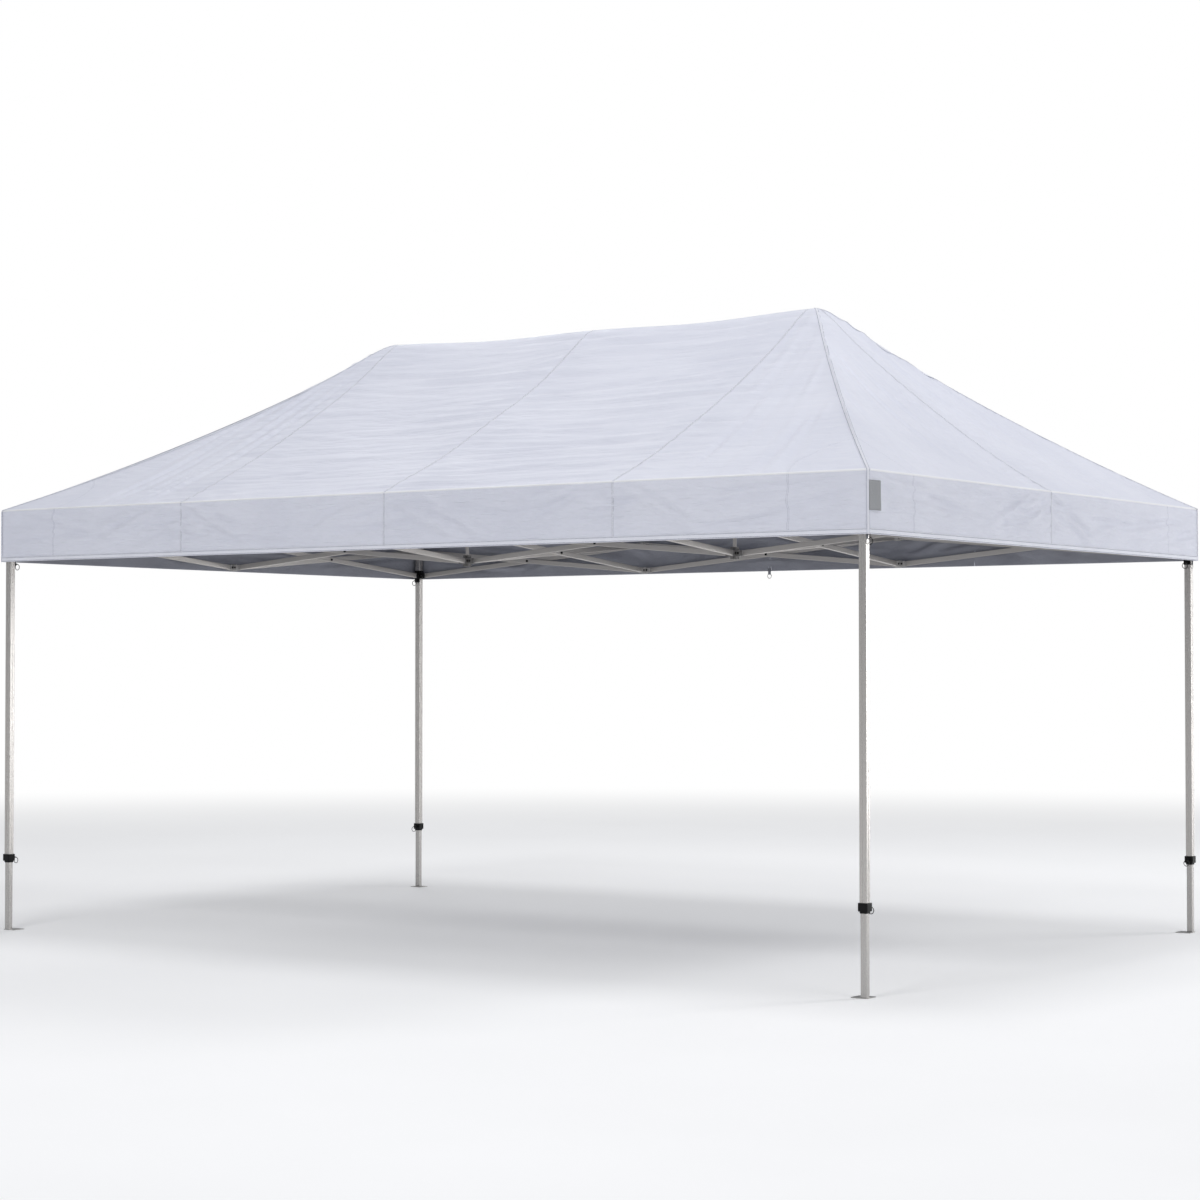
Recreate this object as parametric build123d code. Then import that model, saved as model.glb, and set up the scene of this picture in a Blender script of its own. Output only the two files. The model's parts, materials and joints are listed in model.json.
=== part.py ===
from build123d import *

import os
from math import atan2, degrees, hypot

# A pop-up canopy on four telescopic legs. Sizes are in millimetres. +X runs along the long side,
# +Y to the rear, +Z up, and the origin is on the ground under the middle of the roof.

# Roof
ROOF_LONG = 6000.0
ROOF_SHORT = 4000.0
VALANCE_BOTTOM = 2220.0
EAVE = 2530.0
PEAK = 3632.0
RIDGE_HALF = 1530.0  # from the middle to each peak
RIDGE_BAND = 30.0  # width of the rounded band along the ridge
FABRIC = 1.2
HIP_FALL = 1340.0  # a hip falls this much at its starting slope, and HIP_SAG takes some back
HIP_SAG = EAVE - PEAK + HIP_FALL
ROOF_STEPS = (0.08, 0.2, 0.35, 0.5, 0.65, 0.82)  # shares of the way from ridge to eave

# Legs
LEG_X = 2956.0
LEG_Y = 1966.0
LEG = 40.0
LEG_WALL = 2.0
LEG_TOP = 2496.0
LEG_BOTTOM = 428.0
LEG_CAP = 10.0  # the top bracket's height above the leg
LEG_SKIRT = 26.0  # how far the top bracket reaches down from its pivots
GROOVE_WIDTH = 5.0
GROOVE_DEPTH = 0.7
INNER_LEG = 33.0
INNER_TOP = 1300.0
FOOT = 95.0
FOOT_THICK = 3.0
FOOT_EDGE = 24.0  # from the leg's axis to the foot plate's outer edge
PEG_HOLE_R = 6.0
PEG_HOLE_IN = 12.0  # from the foot plate's inner edge

# Foot lock
LOCK = 53.0
LOCK_BOTTOM = 415.0
LOCK_TOP = 455.0
LOCK_NECK = 40.0
LOCK_NECK_TALL = 10.0
LOCK_Z = 433.0
LOCK_REACH = 52.0  # from a leg's axis to its pull pin's end
SLIDER_REACH = 51.0
PULL_RING_R = 17.0

# Scissor bars. A unit's two bars cross side by side, bolted at their middles.
LOWER_Z = 2245.0
UPPER_Z = 2415.0
BAR_TALL = 32.0
BAR_THICK = 16.0
BAR_WALL = 1.6
BAR_PLANE = 9.0  # from the truss's middle plane to each bar's own
LEG_OFFSET = 38.0  # from a leg's axis to its pivots, and along a whole row or column of brackets
MID_X_OFFSET = 35.5
MID_Y_OFFSET = 30.0
PIVOT_R = 4.0
PIVOT_RUN = 0.05
SEAT_GAP = 0.02
HEAD_R = 7.0
HEAD_TALL = 2.5
BOLT_HEAD_R = 8.0
BOLT_HEAD_TALL = 4.6
PLUG = 22.0  # from a bar's pivot back to its tube

# Brackets
HUB = 40.0
HUB_TALL = 44.0
LOW_HUB_BOTTOM = -34.0  # the lower centre bracket is taller, measured from its pivots
LOW_HUB_TOP = 36.0
CORNER = 5.0  # outer corners of every moulded block
FORK_WIDE = 44.0
FORK_TALL = 34.0
FORK_PAST_PIVOT = 14.0
SLOT_GAP = 0.6
POST_R = 11.0
POST_WALL = 1.6
POST_TOP = 3566.0
POST_FOOT = -8.0  # the post's lower end, from the level of its bracket's pivots
POST_PLUG = 20.0  # how deep the domed plug reaches
RING_R = 12.0
SLIDER = 47.0
SLIDER_BOTTOM = 2196.0
SLIDER_TOP = 2282.0
SLIDER_HEM = 2224.0  # below this only the wall with the pull pin goes on down
SLIDER_PIN_Z = 2208.0
SLIDE_GAP = 0.1

# The truss grid: four columns along X, three rows along Y, with the legs at its corners
X_OFFSETS = (LEG_OFFSET, MID_X_OFFSET, MID_X_OFFSET, LEG_OFFSET)
Y_OFFSETS = (LEG_OFFSET, MID_Y_OFFSET, LEG_OFFSET)
BAR_RUN = LEG_Y - LEG_OFFSET - MID_Y_OFFSET  # a bar's pivot spacing as seen from above
MID_X = BAR_RUN / 2 + MID_X_OFFSET
COLUMN_X = (-LEG_X, -MID_X, MID_X, LEG_X)
ROW_Y = (-LEG_Y, 0.0, LEG_Y)
BAR = hypot(BAR_RUN, UPPER_Z - LOWER_Z)
BAR_ANGLE = degrees(atan2(UPPER_Z - LOWER_Z, BAR_RUN))

ROW_NAMES = ("front", "middle", "rear")
COLUMN_NAMES = ("left_end", "cross_left", "cross_right", "right_end")
SIDE_NAMES = ("left", "left", "right", "right")


def rounded_post(size, corner, bottom, top):
    """A square upright block on the Z axis with rounded upright edges."""
    return Pos(0, 0, bottom) * extrude(RectangleRounded(size, size, corner), amount=top - bottom)


def block(low, high):
    """A plain box between two corners."""
    sizes = [b - a for a, b in zip(low, high)]
    middle = [(a + b) / 2 for a, b in zip(low, high)]
    return Pos(*middle) * Box(*sizes)


def rod(radius, start, end):
    """A round bar along Y, between two values of Y."""
    turned = Rot(90, 0, 0) * Cylinder(radius, end - start)
    return Pos(0, (start + end) / 2, 0) * turned


def headed_pin(radius, head_radius, head_tall, half):
    """A pin along Y with a head on each end."""
    return (
        rod(radius, -half, half)
        + rod(head_radius, half, half + head_tall)
        + rod(head_radius, -half - head_tall, -half)
    )


def pull_ring(reach, height):
    """A spring pin's barrel, plunger and pull ring on the -Y face, its ring hanging from the end."""
    barrel = Pos(0, -(reach - 13), height) * Rot(90, 0, 0) * Cone(8.5, 6.0, 16)
    plunger = Pos(0, -reach + 3, height) * Rot(90, 0, 0) * Cylinder(3.0, 18)
    ring = Pos(0, -reach - 4, height - PULL_RING_R - 1) * Rot(90, 0, 0) * Torus(PULL_RING_R, 2.0)
    return barrel + plunger, ring


# Brackets


def fork(offset):
    """A bracket's arm along +X."""
    return block(
        (HUB / 2 - 4, -FORK_WIDE / 2, -FORK_TALL / 2),
        (offset + FORK_PAST_PIVOT, FORK_WIDE / 2, FORK_TALL / 2),
    )


def slot(offset, side):
    """The space in a fork for one bar, on one side of the truss's middle plane."""
    near = BAR_PLANE - BAR_THICK / 2 - SLOT_GAP
    far = BAR_PLANE + BAR_THICK / 2 + SLOT_GAP
    low, high = sorted((side * near, side * far))
    return block(
        (offset - BAR_TALL / 2 - SLOT_GAP, low, -HUB_TALL),
        (offset + FORK_PAST_PIVOT + 1, high, HUB_TALL),
    )


def pivot_hole(offset):
    return Pos(offset, 0, 0) * rod(PIVOT_R + SEAT_GAP, -FORK_WIDE, FORK_WIDE)


def pivot_pin(offset):
    return Pos(offset, 0, 0) * headed_pin(PIVOT_R, HEAD_R, HEAD_TALL, FORK_WIDE / 2 + SEAT_GAP)


def arms_of(column, row):
    """(turn about Z, pivot offset) of each arm at a crossing of the truss grid."""
    arms = []
    if column < 3:
        arms.append((0, X_OFFSETS[column]))
    if column > 0:
        arms.append((180, X_OFFSETS[column]))
    if row < 2:
        arms.append((90, Y_OFFSETS[row]))
    if row > 0:
        arms.append((-90, Y_OFFSETS[row]))
    return arms


def forked(core, column, row, upper):
    """A core with a fork and a pivot pin for each bar at this crossing, centred on its pivots."""
    side = -1 if upper else 1
    arms = arms_of(column, row)
    for turn, offset in arms:
        core += Rot(0, 0, turn) * fork(offset)
    for turn, offset in arms:
        core -= Rot(0, 0, turn) * (slot(offset, side) + pivot_hole(offset))
    pins = [Rot(0, 0, turn) * pivot_pin(offset) for turn, offset in arms]
    return core, pins


def mid_bracket(column, row, upper):
    hub = rounded_post(HUB, CORNER, -HUB_TALL / 2, HUB_TALL / 2)
    body, pins = forked(hub, column, row, upper)
    return [body, *pins]


def ring_bracket(column, row):
    """The upper centre bracket, which the peak post runs up through."""
    hub = rounded_post(HUB + 2, CORNER, -HUB_TALL / 2, HUB_TALL / 2)
    body, pins = forked(hub, column, row, True)
    return [body - Cylinder(RING_R, 2 * HUB_TALL), *pins]


def peak_post(column, row):
    """The lower centre bracket with its post, and the post's domed plug."""
    hub = rounded_post(HUB, CORNER, LOW_HUB_BOTTOM, LOW_HUB_TOP)
    body, pins = forked(hub, column, row, False)
    body -= Pos(0, 0, LOW_HUB_TOP) * Cylinder(POST_R + SEAT_GAP, 2 * (LOW_HUB_TOP - POST_FOOT))
    top = POST_TOP - LOWER_Z
    tall = top - POST_FOOT
    tube = Pos(0, 0, POST_FOOT + tall / 2) * (
        Cylinder(POST_R, tall) - Cylinder(POST_R - POST_WALL, tall)
    )
    plug_r = POST_R - POST_WALL - SEAT_GAP
    dome = Pos(0, 0, top + SEAT_GAP) * (Sphere(POST_R) & Pos(0, 0, POST_R) * Box(50, 50, 2 * POST_R))
    plug = dome + Pos(0, 0, top - POST_PLUG / 2) * Cylinder(plug_r, POST_PLUG + 4 * SEAT_GAP)
    return [body, tube, plug, *pins]


# Legs


def leg_profile():
    outline = RectangleRounded(LEG, LEG, 4.0)
    for turn in (0, 90, 180, 270):
        outline -= Rot(0, 0, turn) * Pos(LEG / 2, 0) * Rectangle(2 * GROOVE_DEPTH, GROOVE_WIDTH)
    return outline - RectangleRounded(LEG - 2 * LEG_WALL, LEG - 2 * LEG_WALL, 2.0)


def outer_leg(column, row):
    """An outer leg with its top bracket and pins, and the foot lock with its pull ring."""
    tube = Pos(0, 0, LEG_BOTTOM) * extrude(leg_profile(), amount=LEG_TOP - LEG_BOTTOM)
    room = LEG + 2 * SEAT_GAP
    cap = rounded_post(SLIDER, CORNER, -LEG_SKIRT, LEG_TOP + LEG_CAP - UPPER_Z)
    head, pins = forked(cap, column, row, True)
    head -= block((-room / 2, -room / 2, -40), (room / 2, room / 2, LEG_TOP + SEAT_GAP - UPPER_Z))
    raised = [Pos(0, 0, UPPER_Z) * s for s in (head, *pins)]
    collar = rounded_post(LOCK, 6.0, LOCK_BOTTOM, LOCK_TOP)
    collar += rounded_post(LOCK_NECK, CORNER, LOCK_BOTTOM - LOCK_NECK_TALL, LOCK_BOTTOM)
    inner_room = INNER_LEG + 2 * SLIDE_GAP
    collar -= block((-room / 2, -room / 2, LEG_BOTTOM - SEAT_GAP), (room / 2, room / 2, LOCK_TOP + 1))
    collar -= block((-inner_room / 2, -inner_room / 2, 0), (inner_room / 2, inner_room / 2, LOCK_TOP))
    barrel, ring = pull_ring(LOCK_REACH, LOCK_Z)
    barrel -= block((-30, -LOCK / 2 - SEAT_GAP, 0), (30, 0, 3000))
    lock_pin = [Rot(0, 0, 180 if row == 0 else 0) * s for s in (barrel, ring)]
    place = Pos(COLUMN_X[column], ROW_Y[row], 0)
    return [place * s for s in (tube, *raised, collar, *lock_pin)]


def slider(column, row):
    """A slider with its pivot pins, and the pull pin that holds the frame open."""
    sleeve = rounded_post(SLIDER, CORNER, SLIDER_BOTTOM - LOWER_Z, SLIDER_TOP - LOWER_Z)
    body, pins = forked(sleeve, column, row, False)
    room = LEG + 2 * SLIDE_GAP
    body -= rounded_post(room, 3.5, -100, 100)
    inward = Rot(0, 0, 180 if row == 0 else 0)
    body -= inward * block((-30, -room / 2, -100), (30, 30, SLIDER_HEM - LOWER_Z))
    barrel, ring = pull_ring(SLIDER_REACH, SLIDER_PIN_Z - LOWER_Z)
    barrel -= block((-30, -SLIDER / 2 - SEAT_GAP, -100), (30, 0, 100))
    barrel -= block((-60, -200, -FORK_TALL / 2 - 1), (60, 200, 100))
    lock_pin = [inward * s for s in (barrel, ring)]
    place = Pos(COLUMN_X[column], ROW_Y[row], LOWER_Z)
    return [place * s for s in (body, *pins, *lock_pin)]


def inner_leg(column, row):
    """An inner leg and its foot plate, which reaches inwards and has a hole for a ground peg."""
    x_in = -1 if column else 1
    y_in = -1 if row else 1
    profile = RectangleRounded(INNER_LEG, INNER_LEG, 3.0)
    profile -= RectangleRounded(INNER_LEG - 2 * LEG_WALL, INNER_LEG - 2 * LEG_WALL, 1.5)
    tube = Pos(0, 0, FOOT_THICK) * extrude(profile, amount=INNER_TOP - FOOT_THICK)
    middle = FOOT / 2 - FOOT_EDGE
    plate = Pos(middle * x_in, middle * y_in, 0) * extrude(
        RectangleRounded(FOOT, FOOT, 12.0), amount=FOOT_THICK
    )
    hole = FOOT - FOOT_EDGE - PEG_HOLE_IN
    plate -= Pos(hole * x_in, hole * y_in, 0) * Cylinder(PEG_HOLE_R, 4 * FOOT_THICK)
    place = Pos(COLUMN_X[column], ROW_Y[row], 0)
    return [place * tube, place * plate]


# Scissor bars, drawn along X with their thickness along Y


def bar(rising):
    """A tube with two end plugs, and on a rising bar the bolt that joins its pair."""
    tube_half = BAR / 2 - PLUG
    profile = RectangleRounded(BAR_THICK, BAR_TALL, 2.5)
    profile -= RectangleRounded(BAR_THICK - 2 * BAR_WALL, BAR_TALL - 2 * BAR_WALL, 1.2)
    tube = extrude(Plane.YZ * profile, amount=tube_half, both=True)
    tube -= rod(PIVOT_R + (SEAT_GAP if rising else PIVOT_RUN), -BAR_THICK, BAR_THICK)
    thick = BAR_THICK - 0.4
    eye = Pos(BAR / 2, 0, 0) * rod(BAR_TALL / 2, -thick / 2, thick / 2)
    plug = eye + block(
        (tube_half + SEAT_GAP, -thick / 2, -BAR_TALL / 2), (BAR / 2, thick / 2, BAR_TALL / 2)
    )
    spigot = BAR_TALL / 2 - BAR_WALL - 0.2, BAR_THICK / 2 - BAR_WALL - 0.2
    plug += block((tube_half - 24, -spigot[1], -spigot[0]), (BAR / 2, spigot[1], spigot[0]))
    plug -= Pos(BAR / 2, 0, 0) * rod(PIVOT_R + PIVOT_RUN, -BAR_THICK, BAR_THICK)
    solids = [tube, plug, Rot(0, 0, 180) * plug]
    if rising:
        bolt = headed_pin(PIVOT_R, BOLT_HEAD_R, BOLT_HEAD_TALL, BAR_PLANE + BAR_THICK / 2 + SEAT_GAP)
        solids.append(Pos(0, -BAR_PLANE, 0) * bolt)
    return solids


def placed_bars(x, y, turn):
    """A scissor unit's two bars, {"rising": solids, "falling": solids}, for a unit centred at (x, y)."""
    middle = Pos(x, y, (LOWER_Z + UPPER_Z) / 2) * Rot(0, 0, turn)
    rise = middle * Pos(0, BAR_PLANE, 0) * Rot(0, -BAR_ANGLE, 0)
    fall = middle * Pos(0, -BAR_PLANE, 0) * Rot(0, BAR_ANGLE, 0)
    return {
        "rising": [rise * s for s in RISING_BAR],
        "falling": [fall * s for s in FALLING_BAR],
    }


# Roof


def roof_section(share, drop, thinner):
    """The roof's outline at a share of the way from the ridge to the eave."""
    long_half = RIDGE_HALF + (ROOF_LONG / 2 - RIDGE_HALF) * share
    short_half = max(ROOF_SHORT / 2 * share, RIDGE_BAND / 2)
    height = PEAK - HIP_FALL * share + HIP_SAG * share**2
    outline = Rectangle(2 * (long_half - thinner), 2 * (short_half - thinner))
    return Pos(0, 0, height - drop) * outline


def roof_block(drop, thinner, bottom):
    shares = (0.0, *ROOF_STEPS, 1.0)
    sections = [roof_section(s, drop, thinner) for s in shares]
    sections.append(Pos(0, 0, bottom) * Rectangle(ROOF_LONG - 2 * thinner, ROOF_SHORT - 2 * thinner))
    return loft(sections, ruled=True)


def canopy():
    """The roof and its valance: one thin closed skin, open underneath."""
    inside = roof_block(FABRIC * 1.3, FABRIC, VALANCE_BOTTOM - 10)
    return [roof_block(0, 0, VALANCE_BOTTOM) - inside]


def ridge_rod():
    """The flexible rod under the ridge, in two halves that meet in a ferrule."""
    height = POST_TOP + POST_R + 9.0
    rod_r = 5.0
    half = RIDGE_HALF - 20
    along = Rot(0, 90, 0)
    left = Pos(-half / 2 - 0.1, 0, height) * along * Cylinder(rod_r, half - 0.2)
    right = Pos(half / 2 + 0.1, 0, height) * along * Cylinder(rod_r, half - 0.2)
    ferrule = Pos(0, 0, height) * along * (Cylinder(7.5, 160) - Cylinder(rod_r + SEAT_GAP, 160))
    return [left, right, ferrule]


RISING_BAR = bar(True)
FALLING_BAR = bar(False)

parts = {"canopy": canopy(), "ridge_rod": ridge_rod()}

for row in (0, 2):
    for column in (0, 3):
        corner = f"{ROW_NAMES[row]}_{SIDE_NAMES[column]}"
        parts[f"leg_{corner}"] = outer_leg(column, row)
        parts[f"leg_inner_{corner}"] = inner_leg(column, row)
        parts[f"slider_{corner}"] = slider(column, row)
    for column in (1, 2):
        place = Pos(COLUMN_X[column], ROW_Y[row], LOWER_Z)
        name = f"lower_bracket_{ROW_NAMES[row]}_{SIDE_NAMES[column]}"
        parts[name] = [place * s for s in mid_bracket(column, row, False)]

for column in (0, 3):
    end = COLUMN_NAMES[column]
    place = Pos(COLUMN_X[column], 0, 0)
    lower, upper = mid_bracket(column, 1, False), mid_bracket(column, 1, True)
    parts[f"lower_bracket_{end}"] = [place * Pos(0, 0, LOWER_Z) * s for s in lower]
    parts[f"upper_bracket_{end}"] = [place * Pos(0, 0, UPPER_Z) * s for s in upper]

for column in (1, 2):
    side = SIDE_NAMES[column]
    place = Pos(COLUMN_X[column], 0, 0)
    parts[f"peak_post_{side}"] = [place * Pos(0, 0, LOWER_Z) * s for s in peak_post(column, 1)]
    parts[f"upper_bracket_centre_{side}"] = [
        place * Pos(0, 0, UPPER_Z) * s for s in ring_bracket(column, 1)
    ]

for row in range(3):
    for unit in range(3):
        low = COLUMN_X[unit] + X_OFFSETS[unit]
        pair = placed_bars(low + BAR_RUN / 2, ROW_Y[row], 0)
        for way, solids in pair.items():
            parts[f"truss_{ROW_NAMES[row]}_{unit + 1}_{way}"] = solids

for column in range(4):
    for unit in range(2):
        low = ROW_Y[unit] + Y_OFFSETS[unit]
        pair = placed_bars(COLUMN_X[column], low + BAR_RUN / 2, 90)
        for way, solids in pair.items():
            parts[f"truss_{COLUMN_NAMES[column]}_{unit + 1}_{way}"] = solids

os.makedirs("parts", exist_ok=True)
for name, solids in parts.items():
    export_step(Compound(children=[s.solid() for s in solids]), f"parts/{name}.step")
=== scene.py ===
"""Pop-up canopy: sewn fabric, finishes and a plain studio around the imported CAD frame. Metres."""

import json
import math

import bmesh
import bpy
import numpy as np
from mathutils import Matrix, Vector

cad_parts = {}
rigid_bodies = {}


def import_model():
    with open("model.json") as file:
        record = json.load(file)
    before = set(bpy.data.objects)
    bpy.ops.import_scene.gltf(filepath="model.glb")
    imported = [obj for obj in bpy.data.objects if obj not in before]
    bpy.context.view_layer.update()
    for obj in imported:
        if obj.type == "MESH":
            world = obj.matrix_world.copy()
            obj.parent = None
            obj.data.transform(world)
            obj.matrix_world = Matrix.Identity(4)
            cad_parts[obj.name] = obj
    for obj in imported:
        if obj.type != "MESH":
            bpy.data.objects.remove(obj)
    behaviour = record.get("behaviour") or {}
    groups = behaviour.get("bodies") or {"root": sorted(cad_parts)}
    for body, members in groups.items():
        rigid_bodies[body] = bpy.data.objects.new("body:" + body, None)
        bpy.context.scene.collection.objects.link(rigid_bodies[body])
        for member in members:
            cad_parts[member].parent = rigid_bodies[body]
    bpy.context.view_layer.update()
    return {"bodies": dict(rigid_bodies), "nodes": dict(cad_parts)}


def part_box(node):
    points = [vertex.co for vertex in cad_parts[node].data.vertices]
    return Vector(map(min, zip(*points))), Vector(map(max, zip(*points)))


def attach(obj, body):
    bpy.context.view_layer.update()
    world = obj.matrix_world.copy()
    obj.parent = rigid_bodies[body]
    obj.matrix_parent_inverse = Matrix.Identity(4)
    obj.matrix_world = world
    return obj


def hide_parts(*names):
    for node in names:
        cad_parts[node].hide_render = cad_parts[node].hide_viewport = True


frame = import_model()

# ---------------------------------------------------------------- sizes, from the frame

canopy_low, canopy_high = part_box("canopy")
HALF_X, HALF_Y = canopy_high.x, canopy_high.y
HEM_Z, PEAK_Z = canopy_low.z, canopy_high.z
EAVE_Z = 2.530  # where the roof folds over into the valance
VALANCE = EAVE_Z - HEM_Z
RIDGE_HALF = 1.530  # from the middle to a peak
LEG_X = 2.956
LEG_Y = 1.966
HIP_FALL = 1.327  # a hip falls this much at its starting slope, and sags back to the eave
PANEL = 1.510  # between the roof's thin seams
PATCH = 0.45  # from a corner to its reinforcing seam
HEM = 0.030
ROOF_ROWS = 132
LONG_COLUMNS = 240
SHORT_COLUMNS = 160
VALANCE_ROWS = 36
SKIN = 0.0012
SEAMS_LONG = (-PANEL, 0.0, PANEL)
SEAMS_END = (0.0,)

rng = np.random.default_rng(7)


# ---------------------------------------------------------------- smooth noise


class Ripple:
    """A sum of sine waves in two directions, seeded, from -1 to 1."""

    def __init__(self, wave_a, wave_b, count=7):
        self.terms = []
        for _ in range(count):
            stretch = rng.uniform(0.7, 1.5, 2)
            sign = rng.choice((-1, 1))
            self.terms.append(
                (
                    2 * math.pi / (wave_a * stretch[0]),
                    sign * 2 * math.pi / (wave_b * stretch[1]),
                    rng.uniform(0, 2 * math.pi),
                    rng.uniform(0.5, 1.0),
                )
            )
        self.total = sum(t[3] for t in self.terms)

    def __call__(self, a, b):
        return sum(k * np.sin(p * a + q * b + c) for p, q, c, k in self.terms) / self.total * 1.6


class Creases:
    """Separate creases on a sheet. Each has a place, a heading, a length, a width and a height."""

    def __init__(self, rows):
        self.place_a, self.place_b, turn, self.length, self.width, self.height = np.array(rows).T
        self.cos, self.sin = np.cos(turn), np.sin(turn)

    def __call__(self, a, b):
        da = np.asarray(a, float)[..., None] - self.place_a
        db = np.asarray(b, float)[..., None] - self.place_b
        u = (da * self.cos + db * self.sin) / self.length
        v = (db * self.cos - da * self.sin) / self.width
        return (self.height * (1 - v * v) * np.exp(-(u * u + v * v) / 2)).sum(-1)


def pick(low, high):
    return rng.uniform(low, high)


def either(low, high):
    return rng.choice((-1, 1)) * rng.uniform(low, high)


def roof_creases(top, foot, run, seams, count, fans):
    """Drag creases of one roof face: long ones along its eave, short ones at its seams, and fans of
    shallow ones that spread from its peaks. fans gives each fan's peak and where it ends at the eave."""
    rows = []
    for _ in range(count):
        b = pick(0.12, run - 0.08)
        reach = top + (foot - top) * b / run
        size = pick(0.14, 0.5), pick(0.016, 0.040), either(0.0030, 0.0085)
        spread = min(reach, top + 0.25)
        rows.append((pick(-spread, spread), b, rng.normal(0, 0.06), *size))
    for b in np.arange(0.14, run - 0.05, 0.070):
        reach = top + (foot - top) * b / run
        lines = [(seam, way) for seam in seams for way in (-1, 1)] + [(reach, -1), (-reach, 1)]
        for at, way in lines:
            size = pick(0.05, 0.13), pick(0.011, 0.019), pick(0.0020, 0.0046)
            turn = way * pick(0.05, 0.32)
            rows.append((at + way * pick(0.04, 0.16), b + pick(-0.03, 0.03), turn, *size))
    for peak, low, high in fans:
        for _ in range(22):
            end = pick(low, high)
            share = pick(0.25, 0.95)
            size = pick(0.14, 0.40), pick(0.018, 0.036), either(0.004, 0.0095)
            turn = math.atan2(run, 0.5 * (end - peak))
            rows.append((peak + (end - peak) * share, run * share, turn, *size))
    return Creases(rows)


def valance_creases(half, seams):
    """Folds of one valance: pleats drawn in at its seams, swags that fall away from them, loose ones."""
    rows = []
    for seam in seams:
        for way in (-1, 1):
            for b in (0.035, 0.078, 0.120, 0.170, 0.225):
                size = pick(0.04, 0.09), pick(0.009, 0.013), pick(0.005, 0.009)
                rows.append((seam + way * pick(0.03, 0.07), b + pick(-0.01, 0.01), way * pick(0, 0.3), *size))
            for _ in range(4):
                size = pick(0.10, 0.22), pick(0.018, 0.030), either(0.010, 0.018)
                rows.append((seam + way * pick(0.15, 0.50), pick(0.06, 0.18), way * pick(0.2, 0.55), *size))
    for way in (-1, 1):
        for _ in range(4):
            size = pick(0.12, 0.32), pick(0.015, 0.026), either(0.009, 0.016)
            rows.append((way * (half - pick(0.15, 0.7)), pick(0.05, 0.20), way * pick(-0.25, 0.1), *size))
    for _ in range(round(6 * half)):
        size = pick(0.14, 0.4), pick(0.015, 0.028), either(0.007, 0.014)
        rows.append((pick(-half, half), pick(0.04, 0.24), rng.normal(0, 0.12), *size))
    return Creases(rows)


LONG_RUN = 2.24  # from ridge to eave along the slope
END_RUN = 1.84
LONG_FANS = ((-RIDGE_HALF, -2.9, -1.7), (RIDGE_HALF, 1.7, 2.9))
END_FANS = ((0.0, -1.9, -0.2), (0.0, 0.2, 1.9))
ROOF_BILLOW = Ripple(1.6, 1.1)
ROOF_DRAG = Ripple(1.4, 0.11, 9)
LONG_CREASES = roof_creases(RIDGE_HALF, HALF_X, LONG_RUN, SEAMS_LONG, 130, LONG_FANS)
END_CREASES = roof_creases(0.05, HALF_Y, END_RUN, SEAMS_END, 16, END_FANS)
VALANCE_SWAY = Ripple(1.1, 3.0)
VALANCE_SOFT = Ripple(0.45, 0.30)
LONG_FOLDS = valance_creases(HALF_X, SEAMS_LONG)
END_FOLDS = valance_creases(HALF_Y, SEAMS_END)


def smooth(low, high, value):
    t = np.clip((value - low) / (high - low), 0, 1)
    return t * t * (3 - 2 * t)


# ---------------------------------------------------------------- the roof's surface


def share_at(x, y):
    """0 on the ridge to 1 at the eave."""
    ends = (np.abs(x) - RIDGE_HALF) / (HALF_X - RIDGE_HALF)
    return np.clip(np.maximum(np.abs(y) / HALF_Y, ends), 0, 1)


def end_out(t):
    """How far an end face and the hips are from the middle along X, at a share from ridge to eave."""
    return RIDGE_HALF + (HALF_X - RIDGE_HALF) * t


def hip_height(t):
    """A hip's profile: a rounded cap at the peak, then a long shallow sag."""
    cap = 0.030 * (t / 0.06) * np.exp(1 - t / 0.06)
    return PEAK_Z - HIP_FALL * t + (HIP_FALL - PEAK_Z + EAVE_Z) * t**2 + cap


def seam_distance(s, long_side):
    """How far a point at s along its face is from the nearest thin seam."""
    return np.min([np.abs(s - at) for at in (SEAMS_LONG if long_side else SEAMS_END)], axis=0)


def near_seam(distance):
    """Cloth is drawn flat at a seam: 0 on it to 1 where it hangs free."""
    return smooth(0.004, 0.035, distance)


def ridge_sag(x):
    """The ridge hangs between its peaks, with its middle lowest."""
    share = np.clip(np.abs(x) / RIDGE_HALF, 0, 1)
    return 0.018 * np.sin(np.pi * share) ** 2 + 0.016 * (1 - share)


def roof_height(x, y, long_side):
    """The roof between its hips: each panel hangs a little below its seams. At a hip a long face still
    sags with its panel and an end face does not, so the two differ there by up to the long slack."""
    t = share_at(x, y)
    belly = 4 * t * (1 - t)
    if long_side:
        across = np.abs(x) / end_out(t)
        panel = np.abs(np.sin(np.pi * x / PANEL))
        hang, slack = 0.016, 0.014
        along, down, creases = x, LONG_RUN * y / HALF_Y, LONG_CREASES
        sag = ridge_sag(x) * (1 - smooth(0.0, 0.55, t))
    else:
        across = np.abs(y) / np.maximum(HALF_Y * t, 1e-6)
        panel = np.abs(np.sin(np.pi * np.clip(across, 0, 1)))
        hang, slack = 0.004, 0.016
        outward = (np.abs(x) - RIDGE_HALF) / (HALF_X - RIDGE_HALF)
        along, down, creases = y, END_RUN * outward, END_CREASES
        sag = 0.0
    inside = np.clip(1 - across**2, 0, 1)
    z = hip_height(t) - belly * (hang * inside + slack * panel) - sag
    seam = seam_distance(along, long_side)
    edge = smooth(0, 0.06, t) * smooth(0, 0.03, 1 - t) * smooth(0, 0.03, 1 - across)
    z = z + 0.0080 * ROOF_BILLOW(x, y) * edge * inside
    z = z + 0.0022 * ROOF_DRAG(along, down) * edge * (0.4 + np.exp(-seam / 0.22))
    return z + creases(along, down) * edge * (0.12 + 0.88 * near_seam(seam))


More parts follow.
